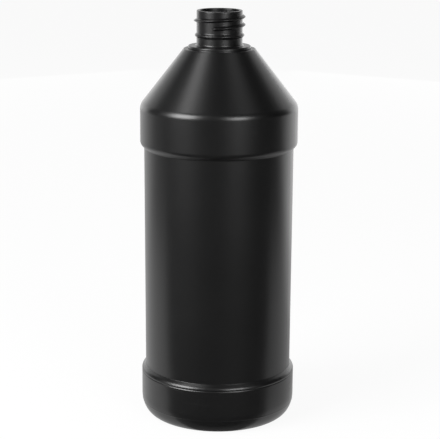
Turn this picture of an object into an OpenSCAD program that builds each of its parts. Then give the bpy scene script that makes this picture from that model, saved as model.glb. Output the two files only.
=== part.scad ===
// One-litre class round bottle, blow moulded in one piece: a bumper band at the base and at the
// shoulder, a recessed label panel between them, a conical shoulder and a threaded neck.
// The origin is the centre of the base at table level, and +Z runs up through the mouth.

/* [Body] */
// Outer diameter of the shoulder band, the widest part
band_d = 84.8; // [76:0.1:110]
// Outer diameter of the base band
base_d = 84.1; // [76:0.1:90]
// How far the label panel lies inside the bands
panel_recess = 2.1; // [1.6:0.1:3]
// Height of the label panel
panel_h = 121.7; // [60:0.1:180]
// Wall thickness of the body
wall = 1; // [0.7:0.1:1.3]

/* [Base band] */
// Height of the base band, from the table to the foot of the panel
base_band_h = 28; // [26:0.1:45]
// Height of the curved heel
heel_h = 11; // [7:0.1:15]
// Width of the curved heel
heel_w = 7; // [5:0.1:12]
// Radius of the rounding at the top of the base band
bead_r = 3; // [2:0.1:4]
// Slope between that rounding and the panel, counted from the vertical
bead_slope = 52; // [40:1:60]
// Plain wall between that rounding and the groove below it
groove_gap = 0.05; // [0.05:0.05:4]
// Width of the groove round the base band
groove_w = 1.1; // [0.8:0.1:1.6]
// Depth of the groove round the base band
groove_depth = 0.2; // [0.1:0.05:0.5]
// Width of the flat ring that the bottle stands on
foot_w = 2.6; // [1.5:0.1:5]
// Height of the domed push-up inside the ring
pushup_h = 4.5; // [2:0.1:8]
// Thickness of the bottom
base_wall = 1.6; // [1:0.1:2.5]

/* [Shoulder] */
// Height of the shoulder band, up to its corner with the cone
shoulder_band_h = 22.9; // [18:0.1:35]
// Radius of the rounded lower lip of the shoulder band
lip_r = 3.2; // [2:0.1:3.6]
// Slope of the underside of the lip, counted from the horizontal
lip_slope = 45; // [35:1:60]
// Radius of the rounding between the shoulder band and the cone
shoulder_r = 6; // [2:0.1:12]
// Height of the conical shoulder
cone_h = 30.1; // [20:0.1:60]
// Diameter of the top of the cone
cone_top_d = 38.1; // [36.5:0.1:42]
// Diameter of the flat collar under the neck
collar_d = 33.5; // [30:0.1:35]
// Height of the collar above the cone
collar_h = 1.6; // [1.2:0.1:2.5]
// Depth of the shallow groove round the foot of the collar
moat_depth = 0.3; // [0.1:0.05:0.5]
// Thickness of the shoulder under that groove
collar_wall = 1.2; // [0.8:0.1:2]

/* [Neck] */
// Outer diameter of the neck under its thread
neck_d = 24.5; // [24:0.1:26]
// Diameter of the bore
bore_d = 21.2; // [18:0.1:22]
// Outer diameter of the thread
thread_d = 27.5; // [26.5:0.1:28.5]
// Height that the thread climbs in one turn
thread_pitch = 4.23; // [3.6:0.01:5]
// Number of turns of the thread
thread_turns = 1.5; // [1:0.05:2]
// Width of the thread at its root
thread_w = 2.9; // [2.2:0.1:3.4]
// Plain neck between the rim and the start of the thread
thread_drop = 1.05; // [1:0.05:4]
// Direction in which the thread starts, counted from +X towards +Y
thread_start = 70; // [0:1:360]
// Outer diameter of the ring below the thread
ring_d = 26.4; // [26:0.1:28.5]
// Width of the ring at its root
ring_w = 2.9; // [2:0.1:3.5]
// Plain neck between the end of the thread and the ring
ring_gap = 1.3; // [0.5:0.05:4]
// Plain neck below the ring
neck_land = 4.1; // [2:0.1:8]

/* [Rounding] */
// Radius of the outer edge of the rim
rim_r = 0.5; // [0.2:0.05:0.9]
// Radius of the edge of the mouth
mouth_r = 0.3; // [0.2:0.05:0.8]
// Radius of the fillet at the foot of the neck
neck_fillet = 0.9; // [0.4:0.1:1.2]
// Radius of the edge of the collar
collar_edge_r = 0.6; // [0.2:0.05:0.8]
// Radius of the edge at the top of the cone
cone_edge_r = 0.5; // [0.2:0.05:0.8]
// Radius of the hollow rounding at the foot of the panel
panel_foot_r = 0.2; // [0.1:0.1:1]
// Radius of the hollow rounding at the top of the panel
panel_top_r = 1; // [0.4:0.1:1.2]
// Radius of the inner edge where the neck opens into the shoulder
throat_r = 2.5; // [1:0.1:3]

/* [Hidden] */
$fn = 96;
// Angle at which the rounding of the base band starts above the groove
bead_edge = 10;
// Angle over which each end of the thread rises out of the neck
thread_fade = 8;
// How far the root of the thread, and its ends, lie inside the wall of the neck
thread_sink = 0.5;
end_sink = 0.2;
// Angle between two sections of the thread
thread_step = 4;
// How far the cavity runs past the rim
clear = 1;

band_r = band_d / 2;
base_r = base_d / 2;
neck_r = neck_d / 2;
bore_r = bore_d / 2;
collar_r = collar_d / 2;
cone_top_r = cone_top_d / 2;

thread_fall = thread_pitch * thread_turns;
neck_h = thread_drop + thread_w + thread_fall + ring_gap + ring_w + neck_land;
lip_z = base_band_h + panel_h;
shoulder_z = lip_z + shoulder_band_h;
cone_top_z = shoulder_z + cone_h;
collar_z = cone_top_z + collar_h;
rim_z = collar_z + neck_h;
ring_z = collar_z + neck_land + ring_w / 2;
ceiling_z = cone_top_z - moat_depth - collar_wall;

// The two sharp corners where the panel would meet the bands
panel_foot = [base_r - panel_recess, base_band_h];
panel_top = [band_r - panel_recess, lip_z];
// Where the cone would meet the shoulder band and its own top
shoulder_corner = [band_r, shoulder_z];
cone_corner = [cone_top_r, cone_top_z];

// The cone leans in by this angle from the vertical
lean = atan2(band_r - cone_top_r, cone_h);
shoulder_centre = [band_r - shoulder_r, shoulder_z - shoulder_r * tan(lean / 2)];
bead_in = bead_r * (cos(bead_edge) - cos(bead_slope));
bead_up = bead_r * (sin(bead_slope) - sin(bead_edge));
bead_z = base_band_h - (panel_recess - bead_in) / tan(bead_slope) - bead_up;
bead_centre = [base_r - bead_r * cos(bead_edge), bead_z - bead_r * sin(bead_edge)];
groove_z = bead_z - groove_gap - groove_w / 2;
heel_centre = [base_r - heel_w, heel_h];
// The lip turns from its wall to its sloping underside
lip_turn = 90 - lip_slope;
lip_rise = (panel_recess - lip_r * (1 - cos(lip_turn))) * tan(lip_slope) + lip_r * sin(lip_turn);
lip_centre = [band_r - lip_r, lip_z + lip_rise];
foot_r = base_r - heel_w - foot_w;
// Radius of the inner face of the cone at the ceiling under the collar
ceiling_r = cone_top_r - wall / cos(lean) + (cone_top_z - ceiling_z) * tan(lean);

// Points on an arc about a centre, with its own radius along each axis
function arc(centre, radii, from, to, steps) = [
    for (i = [0 : steps])
        let (a = from + (to - from) * i / steps)
        centre + [radii[0] * cos(a), radii[1] * sin(a)]
];
function round_arc(centre, radius, from, to, steps) = arc(centre, [radius, radius], from, to, steps);

// Points that round the corner b between the straight lines from a and to c
function round_corner(a, b, c, radius, steps) =
    let (
        u = (a - b) / norm(a - b),
        v = (c - b) / norm(c - b),
        half = acos(u * v) / 2,
        centre = b + (u + v) / norm(u + v) * radius / sin(half),
        p = b + u * radius / tan(half) - centre,
        q = b + v * radius / tan(half) - centre,
        turn = atan2(p[0] * q[1] - p[1] * q[0], p * q)
    )
    [
        for (i = [0 : steps])
            let (t = turn * i / steps)
            centre + [p[0] * cos(t) - p[1] * sin(t), p[0] * sin(t) + p[1] * cos(t)]
    ];

// A smooth hump that is 1 at t = 0 and 0 at t = -1 and t = 1
function hump(t) = (1 + cos(180 * t)) / 2;

// A hump of the given height and width on a straight wall, from its lower end to its upper one
function wall_hump(radius, height, z, width) = [
    for (t = [-1 : 0.25 : 1]) [radius + height * hump(t), z + t * width / 2]
];

// The domed push-up from the axis out to the standing ring, raised by the given lift
function pushup(lift) = [
    for (t = [0 : 0.1 : 1]) [foot_r * t, pushup_h * hump(t) + lift]
];

module outer_shape() {
    bead = round_arc(bead_centre, bead_r, bead_edge, bead_slope, 5);
    lip = round_arc(lip_centre, lip_r, -lip_turn, 0, 5);
    moat = [collar_r, cone_top_z - moat_depth];
    lower = concat(
        pushup(0),
        arc(heel_centre, [heel_w, heel_h], -90, 0, 12),
        wall_hump(base_r, -groove_depth, groove_z, groove_w),
        bead,
        round_corner(bead[len(bead) - 1], panel_foot, panel_top, panel_foot_r, 4),
        round_corner(panel_foot, panel_top, lip[0], panel_top_r, 4),
        lip,
        round_arc(shoulder_centre, shoulder_r, 0, lean, 5)
    );
    upper = concat(
        round_corner(shoulder_corner, cone_corner, moat, cone_edge_r, 4),
        [moat],
        round_arc([collar_r - collar_edge_r, collar_z - collar_edge_r], collar_edge_r, 0, 90, 4),
        round_arc([neck_r + neck_fillet, collar_z + neck_fillet], neck_fillet, 270, 180, 4),
        wall_hump(neck_r, ring_d / 2 - neck_r, ring_z, ring_w),
        round_arc([neck_r - rim_r, rim_z - rim_r], rim_r, 0, 90, 4),
        [[0, rim_z]]
    );
    polygon(concat(lower, upper));
}

module cavity_shape() {
    body = concat(
        pushup(base_wall),
        arc(heel_centre, [heel_w - wall, heel_h - base_wall], -90, 0, 12),
        round_arc(bead_centre, bead_r - wall, bead_edge, bead_slope, 5),
        [panel_foot - wall * [1, tan(bead_slope / 2)]],
        [panel_top - wall * [1, -tan(lip_turn / 2)]],
        round_arc(lip_centre, lip_r - wall, -lip_turn, 0, 4),
        round_arc(shoulder_centre, shoulder_r - wall, 0, lean, 5),
        [[ceiling_r, ceiling_z]]
    );
    neck = concat(
        round_arc([bore_r + throat_r, ceiling_z + throat_r], throat_r, 270, 180, 6),
        round_arc([bore_r + mouth_r, rim_z - mouth_r], mouth_r, 180, 90, 4),
        [[bore_r + mouth_r, rim_z + clear], [0, rim_z + clear]]
    );
    polygon(concat(body, neck));
}

// One section of the thread at the given turn angle, as points round its outline
function thread_section(turn) =
    let (
        rise = min(1, turn / thread_fade, (360 * thread_turns - turn) / thread_fade),
        height = (thread_d / 2 - neck_r + end_sink) * sin(90 * rise) - end_sink,
        z = rim_z - thread_drop - thread_w / 2 - thread_pitch * turn / 360,
        a = thread_start - turn,
        root = neck_r - thread_sink,
        crest = wall_hump(neck_r - end_sink, height + end_sink, z, thread_w),
        outline = concat([[root, z - thread_w / 2]], crest, [[root, z + thread_w / 2]])
    )
    [for (p = outline) [p[0] * cos(a), p[0] * sin(a), p[1]]];

// A right-hand thread, swept section by section down the neck
module thread() {
    steps = ceil(360 * thread_turns / thread_step);
    sections = [for (i = [0 : steps]) thread_section(360 * thread_turns * i / steps)];
    count = len(sections[0]);
    sides = [
        for (i = [0 : steps - 1], j = [0 : count - 1])
            let (a = i * count + j, b = i * count + (j + 1) % count)
            [a, b, b + count, a + count]
    ];
    ends = [
        [for (j = [count - 1 : -1 : 0]) j],
        [for (j = [0 : count - 1]) steps * count + j]
    ];
    polyhedron([for (s = sections) each s], concat(sides, ends));
}

module bottle() {
    color("#1c1c1c") {
        difference() {
            rotate_extrude() outer_shape();
            rotate_extrude() cavity_shape();
        }
        thread();
    }
}

bottle();
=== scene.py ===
import math

import bpy
from mathutils import Euler, Matrix, Vector


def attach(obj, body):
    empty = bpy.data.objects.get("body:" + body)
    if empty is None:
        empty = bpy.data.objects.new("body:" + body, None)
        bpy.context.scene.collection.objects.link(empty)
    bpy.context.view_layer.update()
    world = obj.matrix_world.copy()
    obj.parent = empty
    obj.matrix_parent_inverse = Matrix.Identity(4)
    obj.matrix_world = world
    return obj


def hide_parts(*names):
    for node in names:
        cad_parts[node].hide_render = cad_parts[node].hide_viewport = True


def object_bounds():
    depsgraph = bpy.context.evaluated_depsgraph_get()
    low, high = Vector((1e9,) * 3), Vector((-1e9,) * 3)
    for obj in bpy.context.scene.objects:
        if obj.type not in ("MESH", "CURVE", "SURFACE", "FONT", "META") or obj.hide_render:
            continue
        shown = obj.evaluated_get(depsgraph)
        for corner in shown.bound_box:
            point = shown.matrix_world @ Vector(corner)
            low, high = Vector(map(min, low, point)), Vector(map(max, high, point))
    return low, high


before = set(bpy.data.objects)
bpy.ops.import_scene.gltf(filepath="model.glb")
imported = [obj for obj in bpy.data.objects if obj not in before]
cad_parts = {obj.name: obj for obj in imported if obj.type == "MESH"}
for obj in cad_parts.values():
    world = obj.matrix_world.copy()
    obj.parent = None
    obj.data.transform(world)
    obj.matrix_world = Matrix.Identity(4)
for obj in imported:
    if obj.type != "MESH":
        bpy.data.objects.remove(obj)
cadLow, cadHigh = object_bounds()
mm = 0.001

# Sizes are in millimetres: radii from the bottle's axis, heights from the table.
body = {
    "bandRadius": min(cadHigh.x, -cadLow.x) / mm,
    "baseRadius": 42.05,
    "panelRecess": 2.1,
    "wall": 1.0,
    "bottomWall": 1.6,
    "footWidth": 2.6,
    "heelWidth": 7.0,
    "heelHeight": 11.0,
    "heelLineHeight": 7.8,
    "heelLineWidth": 0.5,
    "heelLineDepth": 0.07,
    "pushupHeight": 4.5,
    "grooveWidth": 1.1,
    "grooveDepth": 0.2,
    "grooveGap": 0.05,
    "beadRound": 3.0,
    "beadEdge": 10,
    "beadSlope": 52,
    "panelFoot": 28.0,
    "panelFootRound": 0.2,
    "lipHeight": 149.7,
    "lipRound": 3.2,
    "lipSlope": 45,
    "panelTopRound": 1.0,
    "shoulderHeight": 172.6,
    "shoulderRound": 6.0,
    "coneTopRadius": 19.05,
    "coneTopHeight": 202.7,
    "coneEdgeRound": 0.5,
    "moatDepth": 0.3,
    "moatRound": 0.15,
    "collarRadius": 16.75,
    "collarHeight": 204.3,
    "collarRound": 0.6,
    "collarWall": 1.2,
    "ringSpacing": 3.0,
    "edgeSupport": 0.25,
    "mergeDistance": 0.005,
    "turnSteps": 176,
    "smoothAngle": 50,
}

neck = {
    "radius": 12.25,
    "bore": 10.6,
    "footRound": 0.9,
    "ringRadius": 13.2,
    "ringWidth": 2.9,
    "ringHeight": 209.85,
    "rimHeight": cadHigh.z / mm,
    "rimRound": 0.5,
    "mouthRound": 0.3,
    "throatRound": 2.5,
    "ringSpacing": 0.45,
    "boreSpacing": 1.5,
}

thread = {
    "crestRadius": 13.75,
    "width": 2.9,
    "pitch": 4.23,
    "turns": 1.5,
    "startAngle": 70,
    "startDrop": 2.5,
    "stepsPerTurn": 120,
    "rootSink": 0.9,
    "fadeAngle": 8,
    "fadeSink": 0.25,
}


def clearSelection():
    if bpy.context.mode != "OBJECT":
        bpy.ops.object.mode_set(mode="OBJECT")
    bpy.ops.object.select_all(action="DESELECT")


def chooseOnly(piece):
    clearSelection()
    piece.select_set(True)
    bpy.context.view_layer.objects.active = piece


def arc(centre, radii, start, end, steps):
    points = []
    for i in range(steps + 1):
        angle = math.radians(start + (end - start) * i / steps)
        points.append((centre[0] + radii[0] * math.cos(angle), centre[1] + radii[1] * math.sin(angle)))
    return points


def hump(t):
    return (1 + math.cos(math.pi * t)) / 2


def wallHump(radius, height, middle, width, steps=8):
    across = [i / steps for i in range(-steps, steps + 1)]
    return [(radius + height * hump(t), middle + t * width / 2) for t in across]


def roundCorner(before, corner, after, radius, steps=6):
    corner = Vector(corner)
    a = (Vector(before) - corner).normalized()
    b = (Vector(after) - corner).normalized()
    half = a.angle(b) / 2
    centre = corner + (a + b).normalized() * radius / math.sin(half)
    reach = radius / math.tan(half)
    first = corner + a * reach - centre
    last = corner + b * reach - centre
    turn = math.atan2(first.x * last.y - first.y * last.x, first.dot(last))
    spokes = [Matrix.Rotation(turn * i / steps, 2) @ first for i in range(steps + 1)]
    return [tuple(centre + spoke) for spoke in spokes]


def fillIn(points, spacing, support):  # rings close to each bend, then evenly spaced ones between
    filled = [points[0]]
    for start, end in zip(points, points[1:]):
        length = math.dist(start, end)
        stops = []
        if length > 4 * support:
            inner = length - 2 * support
            count = max(1, round(inner / spacing))
            stops = [support + inner * i / count for i in range(count + 1)]
        for stop in stops:
            share = stop / length
            filled.append(tuple(a + (b - a) * share for a, b in zip(start, end)))
        filled.append(end)
    return filled


def pushup(lift):
    footRadius = body["baseRadius"] - body["heelWidth"] - body["footWidth"]
    steps = 24
    shares = [i / steps for i in range(steps + 1)]
    return [(footRadius * share, body["pushupHeight"] * hump(share) + lift) for share in shares]


def lean():  # how far the cone leans in from upright
    inward = body["bandRadius"] - body["coneTopRadius"]
    return math.atan2(inward, body["coneTopHeight"] - body["shoulderHeight"])


def beadArc(inset, steps):
    recess, radius = body["panelRecess"], body["beadRound"]
    edge, slope = math.radians(body["beadEdge"]), math.radians(body["beadSlope"])
    inward = radius * (math.cos(edge) - math.cos(slope))
    rise = (recess - inward) / math.tan(slope) + radius * math.sin(slope)
    centre = (body["baseRadius"] - radius * math.cos(edge), body["panelFoot"] - rise)
    return arc(centre, (radius - inset, radius - inset), body["beadEdge"], body["beadSlope"], steps)


def lipArc(inset, steps):
    recess, radius, slope = body["panelRecess"], body["lipRound"], math.radians(body["lipSlope"])
    turn = math.radians(90) - slope
    rise = (recess - radius * (1 - math.cos(turn))) * math.tan(slope) + radius * math.sin(turn)
    centre = (body["bandRadius"] - radius, body["lipHeight"] + rise)
    return arc(centre, (radius - inset, radius - inset), -math.degrees(turn), 0, steps)


def heelArc(inset, lift, steps):
    centre = (body["baseRadius"] - body["heelWidth"], body["heelHeight"])
    return arc(centre, (body["heelWidth"] - inset, body["heelHeight"] - lift), -90, 0, steps)


def heelOutline():  # the heel, with the low ridge where the mould's bottom met its sides
    centre = (body["baseRadius"] - body["heelWidth"], body["heelHeight"])
    radii = (body["heelWidth"], body["heelHeight"])
    middle = -math.degrees(math.asin(1 - body["heelLineHeight"] / body["heelHeight"]))
    reach = math.degrees(body["heelLineWidth"] / 2 / (body["heelHeight"] * math.cos(math.radians(middle))))
    ridge = []
    steps = 4
    for i in range(-steps, steps + 1):
        angle = math.radians(middle + reach * i / steps)
        lift = body["heelLineDepth"] * hump(i / steps)
        across, up = radii[0] * math.cos(angle), radii[1] * math.sin(angle)
        ridge.append((centre[0] + across + lift * math.cos(angle), centre[1] + up + lift * math.sin(angle)))
    below = arc(centre, radii, -90, middle - reach, 20)
    above = arc(centre, radii, middle + reach, 0, 6)
    return below[:-1] + ridge + above[1:]


def shoulderArc(inset, steps):
    radius = body["shoulderRound"]
    centre = (body["bandRadius"] - radius, body["shoulderHeight"] - radius * math.tan(lean() / 2))
    return arc(centre, (radius - inset, radius - inset), 0, math.degrees(lean()), steps)


def outerOutline():
    panelFoot = (body["baseRadius"] - body["panelRecess"], body["panelFoot"])
    panelTop = (body["bandRadius"] - body["panelRecess"], body["lipHeight"])
    bead, lip, shoulder = beadArc(0, 12), lipArc(0, 10), shoulderArc(0, 12)
    lower = pushup(0) + heelOutline()
    grooveHeight = bead[0][1] - body["grooveGap"] - body["grooveWidth"] / 2
    lower += wallHump(body["baseRadius"], -body["grooveDepth"], grooveHeight, body["grooveWidth"])
    lower += bead
    lower += roundCorner(bead[-1], panelFoot, panelTop, body["panelFootRound"], 6)
    lower += roundCorner(panelFoot, panelTop, lip[0], body["panelTopRound"], 6)
    lower += lip + shoulder
    coneTop = (body["coneTopRadius"], body["coneTopHeight"])
    moat = (body["collarRadius"], body["coneTopHeight"] - body["moatDepth"])
    collarEdge = (body["collarRadius"], body["collarHeight"])
    neckFoot = (neck["radius"], body["collarHeight"])
    upper = roundCorner(shoulder[-1], coneTop, moat, body["coneEdgeRound"], 6)
    upper += roundCorner(coneTop, moat, collarEdge, body["moatRound"], 3)
    upper += roundCorner(moat, collarEdge, neckFoot, body["collarRound"], 6)
    upper += roundCorner(collarEdge, neckFoot, (neck["radius"], neck["rimHeight"]), neck["footRound"], 8)
    ringLift = neck["ringRadius"] - neck["radius"]
    ring = wallHump(neck["radius"], ringLift, neck["ringHeight"], neck["ringWidth"])
    rimCentre = (neck["radius"] - neck["rimRound"], neck["rimHeight"] - neck["rimRound"])
    rim = arc(rimCentre, [neck["rimRound"]] * 2, 0, 90, 8)
    lower = fillIn(lower, body["ringSpacing"], body["edgeSupport"])
    cone = fillIn([lower[-1], upper[0]], body["ringSpacing"], body["edgeSupport"])[1:-1]
    upper = fillIn(upper + ring + rim, neck["ringSpacing"], neck["ringSpacing"] / 3)
    return lower + cone + upper


def innerOutline():
    wall = body["wall"]
    footDrop = wall * math.tan(math.radians(body["beadSlope"] / 2))
    topRise = wall * math.tan(math.radians(45 - body["lipSlope"] / 2))
    panelFoot = (body["baseRadius"] - body["panelRecess"] - wall, body["panelFoot"] - footDrop)
    panelTop = (body["bandRadius"] - body["panelRecess"] - wall, body["lipHeight"] + topRise)
    ceiling = body["coneTopHeight"] - body["moatDepth"] - body["collarWall"]
    drop = body["coneTopHeight"] - ceiling
    coneEnd = (body["coneTopRadius"] - wall / math.cos(lean()) + drop * math.tan(lean()), ceiling)
    points = pushup(body["bottomWall"]) + heelArc(wall, body["bottomWall"], 16) + beadArc(wall, 6)
    points += [panelFoot, panelTop] + lipArc(wall, 5) + shoulderArc(wall, 8) + [coneEnd]
    throat = (neck["bore"] + neck["throatRound"], ceiling + neck["throatRound"])
    passage = arc(throat, [neck["throatRound"]] * 2, 270, 180, 10)
    mouth = (neck["bore"] + neck["mouthRound"], neck["rimHeight"] - neck["mouthRound"])
    passage += arc(mouth, [neck["mouthRound"]] * 2, 180, 90, 6)
    inside = fillIn(points, body["ringSpacing"] * 2, body["edgeSupport"])
    return inside + fillIn(passage, neck["boreSpacing"], body["edgeSupport"])


def drawOutline(name, outline):  # one point, then extruded point by point
    clearSelection()
    points = [Vector((radius, 0, height)) * mm for radius, height in outline]
    bpy.ops.mesh.primitive_plane_add(size=mm, location=points[0])
    piece = bpy.context.object
    piece.name = name
    bpy.ops.object.mode_set(mode="EDIT")
    bpy.ops.mesh.select_all(action="SELECT")
    bpy.ops.mesh.merge(type="CENTER")
    for here, there in zip(points, points[1:]):
        bpy.ops.mesh.extrude_region_move(TRANSFORM_OT_translate={"value": there - here})
    bpy.ops.object.mode_set(mode="OBJECT")
    bpy.ops.object.transform_apply(location=True, rotation=True, scale=True)
    return piece


def makeShell():
    piece = drawOutline("bottleShell", outerOutline() + innerOutline()[::-1])
    chooseOnly(piece)
    bpy.ops.object.mode_set(mode="EDIT")
    bpy.ops.mesh.select_all(action="SELECT")
    bpy.ops.mesh.spin(steps=body["turnSteps"], angle=2 * math.pi, center=(0, 0, 0), axis=(0, 0, 1))
    bpy.ops.mesh.select_all(action="SELECT")
    bpy.ops.mesh.remove_doubles(threshold=body["mergeDistance"] * mm)
    bpy.ops.mesh.normals_make_consistent(inside=False)
    bpy.ops.object.mode_set(mode="OBJECT")
    return piece


def threadSection():
    steps = 10
    across = [i / steps for i in range(-steps, steps + 1)]
    wall = neck["radius"] - thread["fadeSink"]
    crest = thread["crestRadius"] - wall
    root = neck["radius"] - thread["rootSink"]
    bottom = neck["rimHeight"] - thread["startDrop"] - thread["pitch"] * thread["turns"]
    section = [(wall + crest * hump(t), bottom + t * thread["width"] / 2) for t in across]
    return [(root, section[0][1])] + section + [(root, section[-1][1])]


def makeThread():
    section = threadSection()
    piece = drawOutline("threadRidge", section)
    chooseOnly(piece)
    bpy.ops.object.mode_set(mode="EDIT")
    bpy.ops.mesh.select_all(action="SELECT")
    bpy.ops.mesh.edge_face_add()
    bpy.ops.mesh.delete(type="ONLY_FACE")
    bpy.ops.object.mode_set(mode="OBJECT")
    steps = round(thread["stepsPerTurn"] * thread["turns"])
    sweep = piece.modifiers.new("threadSweep", "SCREW")
    sweep.angle = 2 * math.pi * thread["turns"]
    sweep.screw_offset = thread["pitch"] * thread["turns"] * mm
    sweep.steps = sweep.render_steps = steps
    bpy.ops.object.modifier_apply(modifier=sweep.name)
    bpy.ops.object.mode_set(mode="EDIT")
    bpy.ops.mesh.select_all(action="DESELECT")
    bpy.ops.object.mode_set(mode="OBJECT")
    count = len(section)
    fadeSteps = round(thread["stepsPerTurn"] * thread["fadeAngle"] / 360)
    sunk = (neck["radius"] - thread["fadeSink"]) / thread["crestRadius"]
    for i in range(fadeSteps):  # each end sinks smoothly into the neck
        rise = math.sin(math.pi / 2 * i / fadeSteps)
        squeeze = sunk + (1 - sunk) * rise
        for ring in (i, steps - i):
            for vertex in piece.data.vertices:
                vertex.select = vertex.index // count == ring
            bpy.ops.object.mode_set(mode="EDIT")
            bpy.ops.transform.resize(value=(squeeze, squeeze, 1), center_override=(0, 0, 0))
            if i == 0:
                bpy.ops.mesh.edge_face_add()
            bpy.ops.mesh.select_all(action="DESELECT")
            bpy.ops.object.mode_set(mode="OBJECT")
    bpy.ops.object.mode_set(mode="EDIT")
    bpy.ops.mesh.select_all(action="SELECT")
    bpy.ops.mesh.normals_make_consistent(inside=False)
    bpy.ops.object.mode_set(mode="OBJECT")
    piece.rotation_euler.z = math.radians(thread["startAngle"] - 360 * thread["turns"])
    bpy.ops.object.transform_apply(location=True, rotation=True, scale=True)
    return piece


def makeBottle():
    shell = makeShell()
    print("shell turned,", len(shell.data.vertices), "vertices")
    ridge = makeThread()
    join = shell.modifiers.new("threadJoin", "BOOLEAN")
    join.operation = "UNION"
    join.solver = "EXACT"
    join.object = ridge
    chooseOnly(shell)
    bpy.ops.object.modifier_apply(modifier=join.name)
    bpy.data.objects.remove(ridge)
    bpy.ops.object.shade_smooth_by_angle(angle=math.radians(body["smoothAngle"]))
    print("thread joined,", len(shell.data.vertices), "vertices")
    return shell


plastic = {
    "darkColour": (0.0035, 0.0035, 0.0036, 1),
    "lightColour": (0.0045, 0.0045, 0.0046, 1),
    "scuffColour": (0.011, 0.011, 0.011, 1),
    "roughnessRange": (0.29, 0.34),
    "scuffRoughness": 0.46,
    "scuffScale": (60, 60, 900),
    "scuffShare": (0.66, 0.80),
    "scuffReach": 0.3,
    "refraction": 1.5,
    "cloudSize": 35,
    "grainSize": 0.9,
    "grainDepth": 0.012,
    "streakWidth": 2.4,
    "streakLength": 60,
    "streakDepth": 0.006,
    "seamAngle": 70,
    "seamWidth": 0.35,
    "seamDepth": 0.07,
}


class GroupMaker:  # a node group with named inputs and outputs
    def __init__(self, name, inputs, outputs):
        self.tree = bpy.data.node_groups.new(name, "ShaderNodeTree")
        for label, kind in inputs:
            self.tree.interface.new_socket(label, in_out="INPUT", socket_type=kind)
        for label, kind in outputs:
            self.tree.interface.new_socket(label, in_out="OUTPUT", socket_type=kind)
        self.start = self.add("NodeGroupInput")
        self.end = self.add("NodeGroupOutput")

    def add(self, kind, operation=None):
        node = self.tree.nodes.new(kind)
        if operation:
            node.operation = operation
        return node

    def join(self, output, socket):
        self.tree.links.new(output, socket)

    def maths(self, operation, *parts):  # a maths node fed by numbers and outputs
        node = self.add("ShaderNodeMath", operation)
        for socket, part in zip(node.inputs, parts):
            if isinstance(part, (int, float)):
                socket.default_value = part
            else:
                self.join(part, socket)
        return node.outputs[0]


def makeGrainGroup():  # fine grain of the mould, and faint streaks down the drawn plastic
    inputs = [("Place", "NodeSocketVector"), ("Grain Scale", "NodeSocketFloat")]
    inputs += [("Grain Depth", "NodeSocketFloat"), ("Streak Scale", "NodeSocketVector")]
    inputs += [("Streak Depth", "NodeSocketFloat")]
    group = GroupMaker("mouldGrain", inputs, [("Height", "NodeSocketFloat")])
    grain = group.add("ShaderNodeTexNoise")
    grain.inputs["Detail"].default_value = 2
    group.join(group.start.outputs["Place"], grain.inputs["Vector"])
    group.join(group.start.outputs["Grain Scale"], grain.inputs["Scale"])
    stretch = group.add("ShaderNodeVectorMath", "MULTIPLY")
    group.join(group.start.outputs["Place"], stretch.inputs[0])
    group.join(group.start.outputs["Streak Scale"], stretch.inputs[1])
    streak = group.add("ShaderNodeTexNoise")
    streak.inputs["Scale"].default_value = 1
    streak.inputs["Detail"].default_value = 1
    group.join(stretch.outputs[0], streak.inputs["Vector"])
    fine = group.maths("MULTIPLY", grain.outputs["Fac"], group.start.outputs["Grain Depth"])
    long = group.maths("MULTIPLY", streak.outputs["Fac"], group.start.outputs["Streak Depth"])
    group.join(group.maths("ADD", fine, long), group.end.inputs["Height"])
    return group.tree


def makeSeamGroup():  # a low round ridge along the plane through the axis that faces Direction
    inputs = [("Place", "NodeSocketVector"), ("Direction", "NodeSocketVector")]
    inputs += [("Width", "NodeSocketFloat"), ("Depth", "NodeSocketFloat")]
    group = GroupMaker("partingLine", inputs, [("Height", "NodeSocketFloat")])
    along = group.add("ShaderNodeVectorMath", "DOT_PRODUCT")
    group.join(group.start.outputs["Place"], along.inputs[0])
    group.join(group.start.outputs["Direction"], along.inputs[1])
    away = group.maths("ABSOLUTE", along.outputs["Value"])
    share = group.maths("DIVIDE", away, group.start.outputs["Width"])
    near = group.add("ShaderNodeMapRange")
    near.interpolation_type = "SMOOTHSTEP"
    near.inputs["From Max"].default_value = 0.5
    near.inputs["To Min"].default_value = 1
    near.inputs["To Max"].default_value = 0
    group.join(share, near.inputs["Value"])
    ridge = group.maths("MULTIPLY", near.outputs["Result"], group.start.outputs["Depth"])
    group.join(ridge, group.end.inputs["Height"])
    return group.tree


def makeScuffGroup():  # thin rub marks round the two bands, where bottles touch each other in a crate
    inputs = [("Place", "NodeSocketVector"), ("Mark Scale", "NodeSocketVector")]
    inputs += [("Touch Radius", "NodeSocketFloat")]
    group = GroupMaker("bandScuffs", inputs, [("Mask", "NodeSocketFloat")])
    stretch = group.add("ShaderNodeVectorMath", "MULTIPLY")
    group.join(group.start.outputs["Place"], stretch.inputs[0])
    group.join(group.start.outputs["Mark Scale"], stretch.inputs[1])
    marks = group.add("ShaderNodeTexNoise")
    marks.inputs["Scale"].default_value = 1
    marks.inputs["Detail"].default_value = 4
    group.join(stretch.outputs[0], marks.inputs["Vector"])
    thin = group.add("ShaderNodeMapRange")
    low, high = plastic["scuffShare"]
    thin.inputs["From Min"].default_value = low
    thin.inputs["From Max"].default_value = high
    group.join(marks.outputs["Fac"], thin.inputs["Value"])
    axes = group.add("ShaderNodeSeparateXYZ")
    group.join(group.start.outputs["Place"], axes.inputs[0])
    reach = group.maths("POWER", axes.outputs["X"], 2)
    reach = group.maths("ADD", reach, group.maths("POWER", axes.outputs["Y"], 2))
    reach = group.maths("SQRT", reach)
    outside = group.maths("GREATER_THAN", reach, group.start.outputs["Touch Radius"])
    group.join(group.maths("MULTIPLY", thin.outputs["Result"], outside), group.end.inputs["Mask"])
    return group.tree


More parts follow.
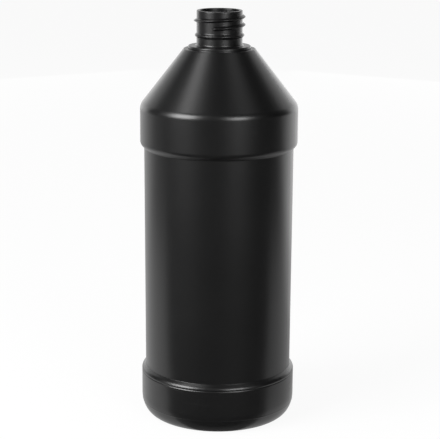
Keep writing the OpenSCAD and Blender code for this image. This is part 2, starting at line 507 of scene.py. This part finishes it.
def makePlastic():
    material = bpy.data.materials.new("blackPolyethylene")
    material.use_nodes = True
    nodes = material.node_tree.nodes
    links = material.node_tree.links
    surface = nodes["Principled BSDF"]
    surface.inputs["IOR"].default_value = plastic["refraction"]
    place = nodes.new("ShaderNodeTexCoord").outputs["Object"]

    def useGroup(tree, values):
        node = nodes.new("ShaderNodeGroup")
        node.node_tree = tree
        links.new(place, node.inputs["Place"])
        for label, value in values.items():
            node.inputs[label].default_value = value
        return node.outputs[0]

    streakScale = (1 / (plastic["streakWidth"] * mm),) * 2 + (1 / (plastic["streakLength"] * mm),)
    grain = useGroup(makeGrainGroup(), {
        "Grain Scale": 1 / (plastic["grainSize"] * mm),
        "Grain Depth": plastic["grainDepth"],
        "Streak Scale": streakScale,
        "Streak Depth": plastic["streakDepth"],
    })
    seamAngle = math.radians(plastic["seamAngle"])
    seam = useGroup(makeSeamGroup(), {
        "Direction": (math.cos(seamAngle), math.sin(seamAngle), 0),
        "Width": plastic["seamWidth"] * mm,
        "Depth": plastic["seamDepth"],
    })
    scuffs = useGroup(makeScuffGroup(), {
        "Mark Scale": plastic["scuffScale"],
        "Touch Radius": (body["baseRadius"] - plastic["scuffReach"]) * mm,
    })
    height = nodes.new("ShaderNodeMath")
    links.new(grain, height.inputs[0])
    links.new(seam, height.inputs[1])
    bump = nodes.new("ShaderNodeBump")
    bump.inputs["Distance"].default_value = mm
    links.new(height.outputs[0], bump.inputs["Height"])
    links.new(bump.outputs["Normal"], surface.inputs["Normal"])
    cloud = nodes.new("ShaderNodeTexNoise")
    cloud.inputs["Scale"].default_value = 1 / (plastic["cloudSize"] * mm)
    cloud.inputs["Detail"].default_value = 3
    links.new(place, cloud.inputs["Vector"])
    shade = nodes.new("ShaderNodeMix")
    shade.data_type = "RGBA"
    shade.inputs["A"].default_value = plastic["darkColour"]
    shade.inputs["B"].default_value = plastic["lightColour"]
    links.new(cloud.outputs["Fac"], shade.inputs["Factor"])
    rubbed = nodes.new("ShaderNodeMix")
    rubbed.data_type = "RGBA"
    rubbed.inputs["B"].default_value = plastic["scuffColour"]
    links.new(shade.outputs["Result"], rubbed.inputs["A"])
    links.new(scuffs, rubbed.inputs["Factor"])
    links.new(rubbed.outputs["Result"], surface.inputs["Base Color"])
    satin = nodes.new("ShaderNodeMapRange")
    glossy, soft = plastic["roughnessRange"]
    satin.inputs["To Min"].default_value = glossy
    satin.inputs["To Max"].default_value = soft
    links.new(cloud.outputs["Fac"], satin.inputs["Value"])
    dull = nodes.new("ShaderNodeMix")
    dull.inputs["B"].default_value = plastic["scuffRoughness"]
    links.new(satin.outputs["Result"], dull.inputs["A"])
    links.new(scuffs, dull.inputs["Factor"])
    links.new(dull.outputs["Result"], surface.inputs["Roughness"])
    print("plastic mixed")
    return material


bottle = makeBottle()
bottle.data.materials.clear()
bottle.data.materials.append(makePlastic())
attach(bottle, "root")
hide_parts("bottle")


studio = {
    "floorSize": 9.0,
    "floorColour": 0.8,
    "floorGlow": 0.92,
    "worldLight": 0.4,
    "tentRadius": 1.7,
    "tentFront": 122,
    "tentTop": 42,
    "tentFoot": -4,
    "tentGlow": 0.0,
    "cardHeight": 0.0003,
    "paintedReflectionCards": {  # painted reflections, glowing cards seen only in the bottle's mirror: from and to along X, from and to along Y, and how bright it looks when mirrored
        "frontPaintedReflection": (-1.7, 1.7, -1.7, -0.0415, 0.06),
        # painted shadow: the floor shaded under the heel, seen only as mirrored
        "heelPaintedShadow": (-0.06, 0.06, -0.0415, -0.036, 0.22),
        "leftPaintedReflection": (-1.7, -0.40, -0.0415, 0.30, 0.42),
        "nearRightPaintedReflection": (0.06, 0.40, -0.0415, 0.16, 0.70),
        "rightPaintedReflection": (0.40, 1.7, -0.0415, 0.22, 0.15),
        # painted reflection brighter than white, though it is no lamp
        "farRightPaintedReflection": (0.20, 1.2, 0.30, 1.2, 1.5),
    },
    "lampDistance": 1.25,
}

cameraView = {
    "distance": 0.800,
    "height": 0.3026,
    "pitch": 13.6,
    "turn": 1.55,
    "roll": 0.35,
    "lensPixels": 1507.9,
    "pictureWidth": 440,
    "sensorWidth": 36,
}

lamps = {
    "leftSoftbox": {"azimuth": -54, "elevation": 22, "size": (0.73, 0.68), "power": 22.0},
    "leftHighSoftbox": {"azimuth": -75, "elevation": 61, "size": (0.29, 0.49), "power": 2.15},
    "rightSoftbox": {"azimuth": 28, "elevation": 16, "size": (0.51, 0.50), "power": 8.0},
    "rightHighSoftbox": {"azimuth": 60, "elevation": 64, "size": (0.44, 0.50), "power": 0.5},
    "leftBackLight": {"azimuth": -152, "elevation": 4, "size": (1.1, 0.6), "power": 1.8},
    "rightBackLight": {"azimuth": 152, "elevation": 4, "size": (1.1, 0.6), "power": 2.2},
}


def showMirrored(piece):  # seen only where something mirrors it or lets it through
    piece.visible_camera = False
    piece.visible_diffuse = False
    piece.visible_glossy = True
    piece.visible_transmission = True
    piece.visible_shadow = False


def addSeenRays(nodes, links):  # 1 for rays from the camera, and for mirrored or let through ones
    path = nodes.new("ShaderNodeLightPath")
    seen = path.outputs["Is Camera Ray"]
    for kind in ("Is Glossy Ray", "Is Transmission Ray"):
        either = nodes.new("ShaderNodeMath")
        either.operation = "MAXIMUM"
        links.new(seen, either.inputs[0])
        links.new(path.outputs[kind], either.inputs[1])
        seen = either.outputs[0]
    return seen


def makeWhite(name, glow, colour):  # white as seen and as mirrored, and it still takes a shadow
    material = bpy.data.materials.new(name)
    material.use_nodes = True
    nodes = material.node_tree.nodes
    links = material.node_tree.links
    nodes.remove(nodes["Principled BSDF"])
    seen = addSeenRays(nodes, links)
    matte = nodes.new("ShaderNodeBsdfDiffuse")
    matte.inputs["Color"].default_value = (colour, colour, colour, 1)
    bright = nodes.new("ShaderNodeEmission")
    bright.inputs["Strength"].default_value = 1
    share = nodes.new("ShaderNodeMath")
    share.operation = "MULTIPLY"
    share.inputs[1].default_value = glow
    links.new(seen, share.inputs[0])
    blend = nodes.new("ShaderNodeMixShader")
    links.new(share.outputs[0], blend.inputs["Fac"])
    links.new(matte.outputs[0], blend.inputs[1])
    links.new(bright.outputs[0], blend.inputs[2])
    links.new(blend.outputs[0], nodes["Material Output"].inputs["Surface"])
    return material


# painted reflection: the card glows by emission, though it is no lamp
def makeReflectionPaint(name, glow):
    material = bpy.data.materials.new(name)
    material.use_nodes = True
    nodes = material.node_tree.nodes
    nodes.remove(nodes["Principled BSDF"])
    shine = nodes.new("ShaderNodeEmission")
    shine.inputs["Color"].default_value = (glow, glow, glow, 1)
    material.node_tree.links.new(shine.outputs[0], nodes["Material Output"].inputs["Surface"])
    return material


def deleteFaces(piece, unwanted):
    chooseOnly(piece)
    bpy.ops.object.mode_set(mode="EDIT")
    bpy.ops.mesh.select_mode(type="FACE")
    bpy.ops.mesh.select_all(action="DESELECT")
    bpy.ops.object.mode_set(mode="OBJECT")
    for face in piece.data.polygons:
        face.select = unwanted(face.center)
    bpy.ops.object.mode_set(mode="EDIT")
    bpy.ops.mesh.delete(type="FACE")
    bpy.ops.mesh.select_mode(type="VERT")
    bpy.ops.object.mode_set(mode="OBJECT")


def frontAngle(point):  # 0 towards the camera, growing to either side
    return math.degrees(math.atan2(point.x, -point.y))


def makePaintedReflectionCard(name, left, right, near, far, glow):  # a flat glowing card just above the floor, a painted reflection
    clearSelection()
    middle = ((left + right) / 2, (near + far) / 2, studio["cardHeight"])
    bpy.ops.mesh.primitive_plane_add(size=1, location=middle)
    card = bpy.context.object
    card.name = name
    card.scale = (right - left, far - near, 1)
    bpy.ops.object.transform_apply(location=True, rotation=True, scale=True)
    card.data.materials.append(makeReflectionPaint(name + "Paint", glow))
    return card


def makeStudio():
    clearSelection()
    bpy.ops.mesh.primitive_plane_add(size=studio["floorSize"])
    floor = bpy.context.object
    floor.name = "floor"
    floor.data.materials.append(makeWhite("paleFloor", studio["floorGlow"], studio["floorColour"]))
    clearSelection()
    # painted dark reflection: a black dome round the front and overhead, seen only in the bottle's mirror
    bpy.ops.mesh.primitive_uv_sphere_add(segments=90, ring_count=45, radius=studio["tentRadius"])
    tent = bpy.context.object
    tent.name = "darkReflectionTent"
    front = studio["tentFront"]

    def outsideTent(point):
        height = math.degrees(math.asin(point.z / point.length))
        return height < studio["tentFoot"] or (abs(frontAngle(point)) > front and height < studio["tentTop"])

    deleteFaces(tent, outsideTent)
    tent.data.materials.append(makeReflectionPaint("tentReflectionPaint", studio["tentGlow"]))
    # painted reflections of the floor, darker in front and brighter to the right, seen only mirrored
    paintedReflectionCards = [makePaintedReflectionCard(name, *place) for name, place in studio["paintedReflectionCards"].items()]
    for piece in [tent] + paintedReflectionCards:
        showMirrored(piece)
    for name, lamp in lamps.items():
        light = bpy.data.lights.new(name, "AREA")
        light.shape = "RECTANGLE"
        light.size, light.size_y = lamp["size"]
        light.energy = lamp["power"]
        holder = bpy.data.objects.new(name, light)
        bpy.context.scene.collection.objects.link(holder)
        holder.visible_camera = False
        azimuth, elevation = math.radians(lamp["azimuth"]), math.radians(lamp["elevation"])
        level = math.cos(elevation)
        way = Vector((math.sin(azimuth) * level, -math.cos(azimuth) * level, math.sin(elevation)))
        aim = Vector((0, 0, neck["rimHeight"] / 2 * mm))
        holder.location = aim + way * studio["lampDistance"]
        holder.rotation_euler = (-way).to_track_quat("-Z", "Y").to_euler()
    print("lamps hung")
    world = bpy.data.worlds.new("studioWorld")
    bpy.context.scene.world = world
    world.use_nodes = True
    nodes = world.node_tree.nodes
    links = world.node_tree.links
    seen = addSeenRays(nodes, links)
    strength = nodes.new("ShaderNodeMapRange")
    strength.inputs["To Min"].default_value = studio["worldLight"]
    strength.inputs["To Max"].default_value = 1
    links.new(seen, strength.inputs["Value"])
    background = nodes["Background"]
    background.inputs["Color"].default_value = (1, 1, 1, 1)
    links.new(strength.outputs["Result"], background.inputs["Strength"])


def makeCamera():
    view = cameraView
    lens = bpy.data.cameras.new("camera")
    lens.sensor_width = view["sensorWidth"]
    lens.lens = view["lensPixels"] / view["pictureWidth"] * lens.sensor_width
    lens.clip_start = 0.01
    camera = bpy.data.objects.new("camera", lens)
    bpy.context.scene.collection.objects.link(camera)
    turn = math.atan(view["turn"] / view["lensPixels"])
    aim = Euler((0, 0, -turn)).to_matrix() @ Euler((math.radians(90 - view["pitch"]), 0, 0)).to_matrix()
    roll = Matrix.Rotation(math.radians(view["roll"]), 3, "Z")
    camera.matrix_world = Matrix.Translation((0, -view["distance"], view["height"])) @ (aim @ roll).to_4x4()
    bpy.context.scene.camera = camera


makeStudio()
makeCamera()
bpy.context.scene.view_settings.view_transform = "Standard"
